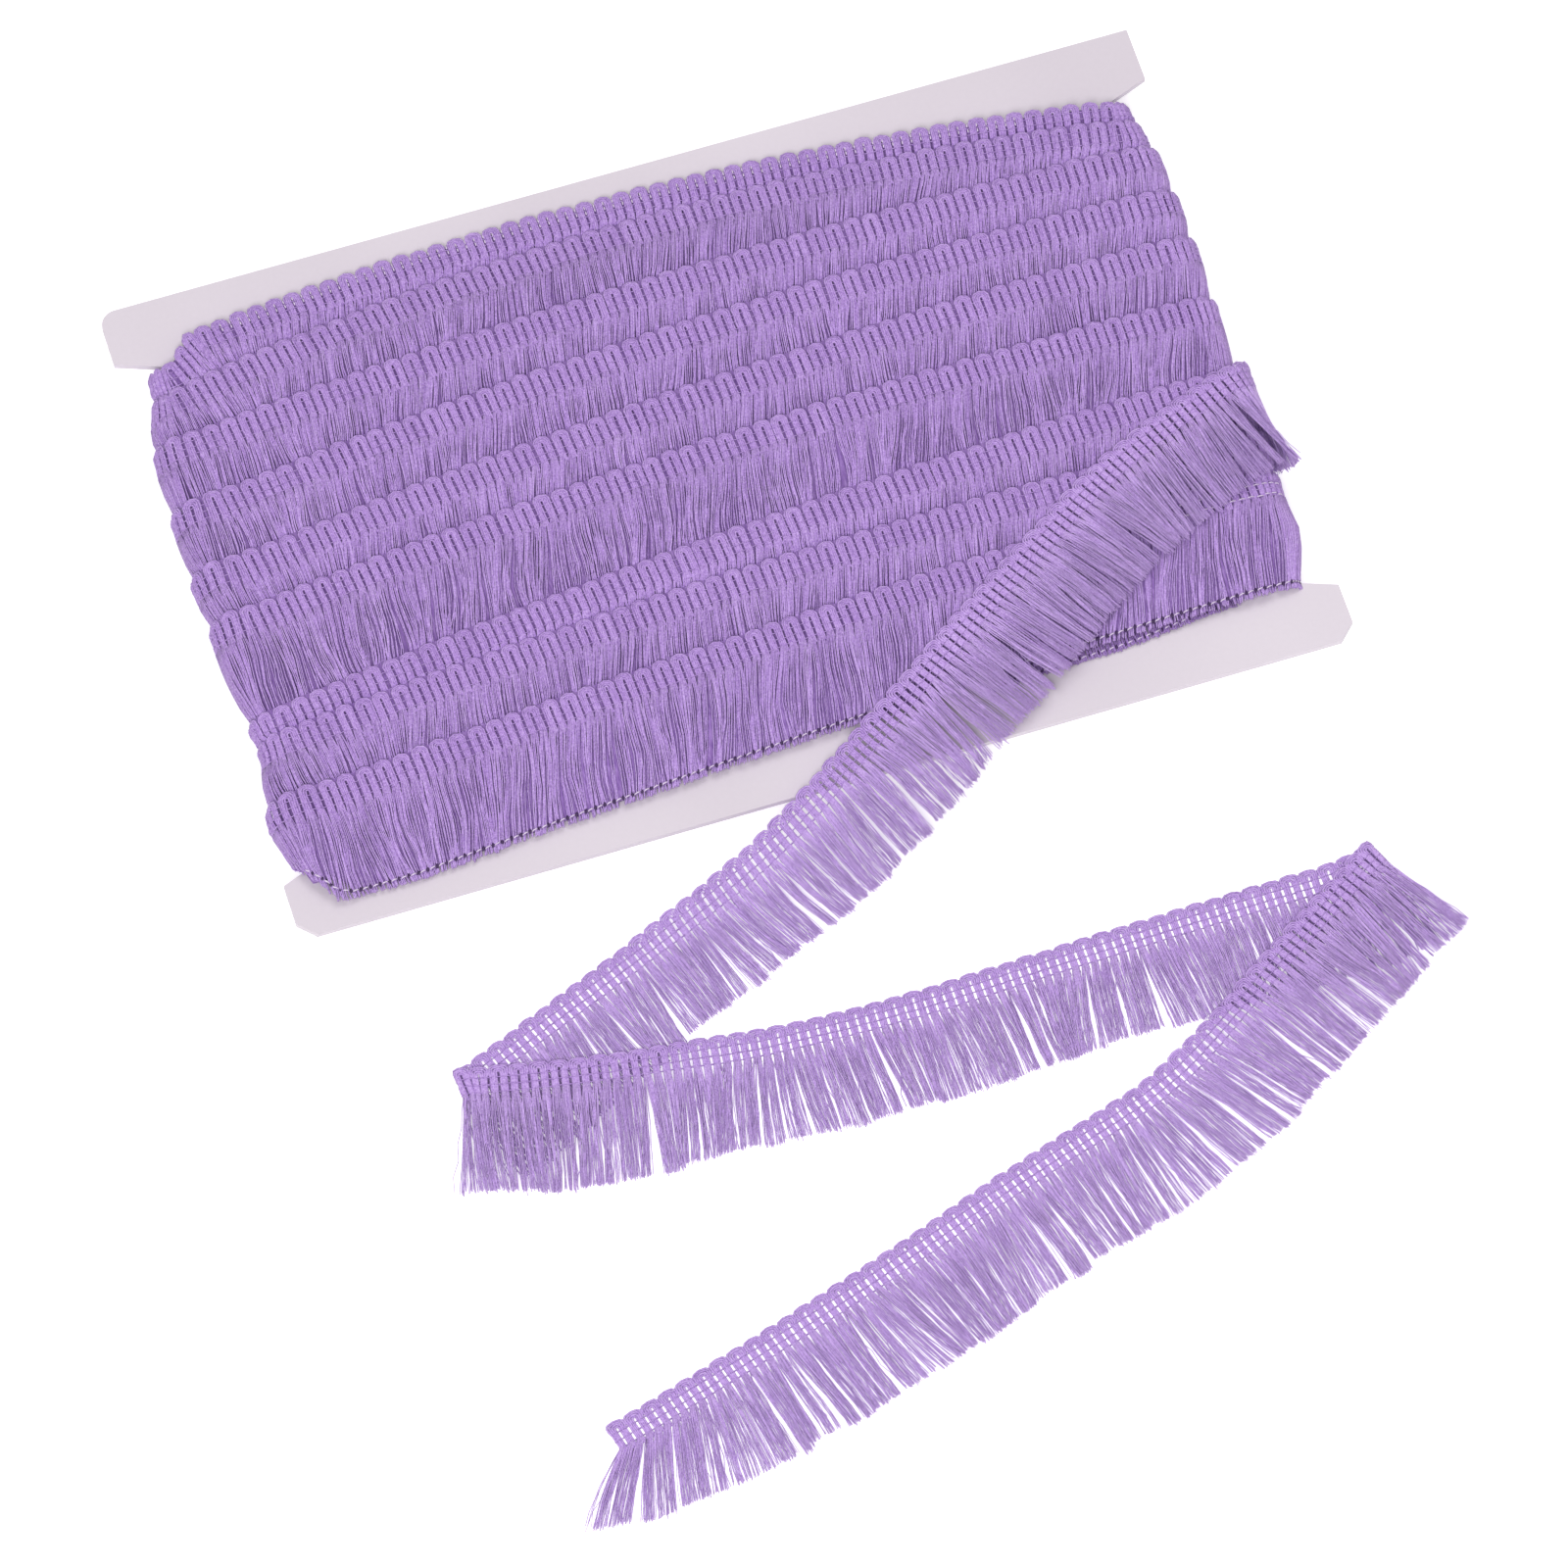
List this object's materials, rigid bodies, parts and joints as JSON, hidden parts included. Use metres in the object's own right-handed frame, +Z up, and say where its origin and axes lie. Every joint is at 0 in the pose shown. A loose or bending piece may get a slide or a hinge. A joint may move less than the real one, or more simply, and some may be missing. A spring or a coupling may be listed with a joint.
{
  "type": "fringe trim wound on a card",
  "caption": "Brush fringe trim wound in shingled rows on a notched flat card, its loose end folded back and forth beside it.",
  "frame": {"origin": "under the middle of the card, on the flat under side of the wound trim, which lies on the surface", "axes": "+X along the card's long side towards the end that the loose end leaves, +Y across the card away from the loose end, +Z up"},
  "size_m": [0.2296, 0.2937, 0.0155],
  "materials": {
    "card": "matt pale card with a faint lilac cast",
    "trim_yarn": "soft lilac polyester yarn, matt with a light sheen along the strands"
  },
  "bodies": {
    "root": {"card": "card", "wound_trim": "trim_yarn", "tail_heading": "trim_yarn", "tail_fringe_on_pack": "trim_yarn", "tail_fringe_over_edge": "trim_yarn", "tail_fringe_run_1": "trim_yarn", "tail_fringe_run_2": "trim_yarn", "tail_fringe_run_3": "trim_yarn"}
  },
  "joints": []
}
